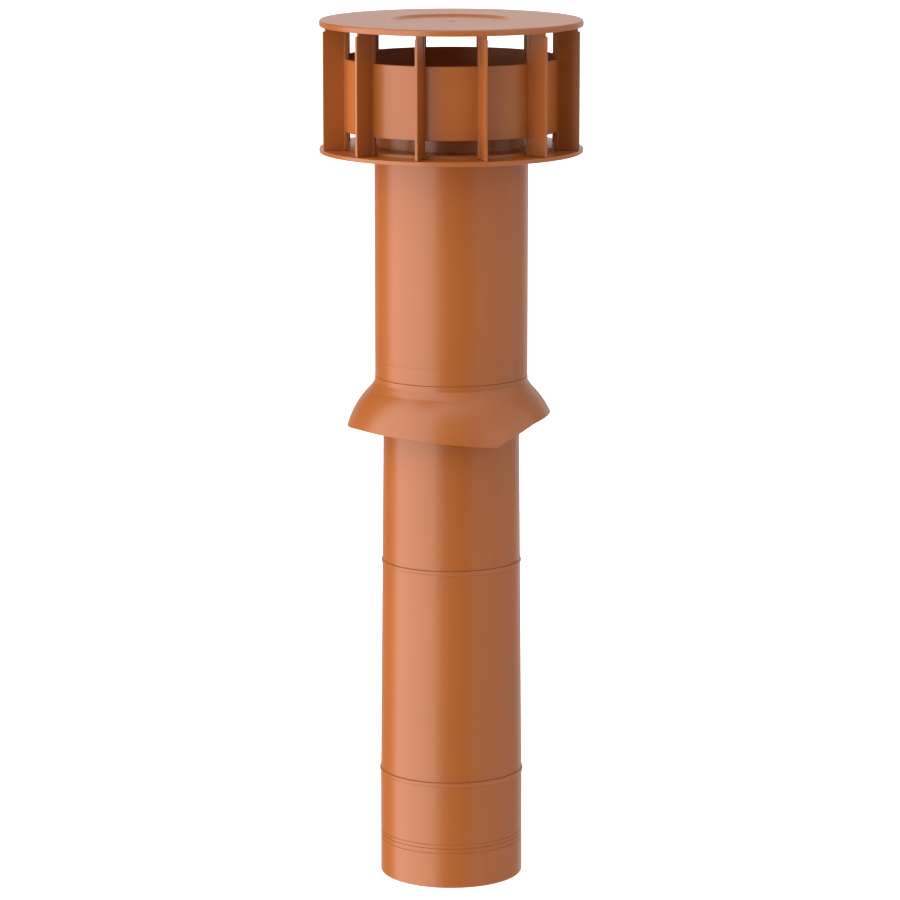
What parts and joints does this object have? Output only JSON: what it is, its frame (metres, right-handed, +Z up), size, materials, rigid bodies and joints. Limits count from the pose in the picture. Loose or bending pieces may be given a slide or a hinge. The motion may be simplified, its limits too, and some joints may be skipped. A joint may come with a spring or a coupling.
{
  "type": "roof vent pipe",
  "caption": "Plastic roof ventilation pipe with a finned rain cowl, a bell skirt cut to the roof's slope, and a beaded lower pipe that plugs into a duct.",
  "frame": {"origin": "centre of the pipe's cut lower end, on the pipe's axis", "axes": "+Z up along the pipe to the cap, -Y towards the picture's viewer, +X to the viewer's right, where the skirt's steeper cut faces up the roof"},
  "size_m": [0.2912, 0.2912, 0.9675],
  "materials": {
    "terracotta_plastic": "satin"
  },
  "bodies": {
    "root": {"end_collar": "terracotta_plastic", "lower_pipe_bottom_length": "terracotta_plastic", "lower_pipe_middle_length": "terracotta_plastic", "lower_pipe_top_length": "terracotta_plastic", "roof_skirt": "terracotta_plastic", "upper_sleeve": "terracotta_plastic", "base_flange": "terracotta_plastic", "louvre_ring": "terracotta_plastic", "cap_disc": "terracotta_plastic"}
  },
  "joints": []
}
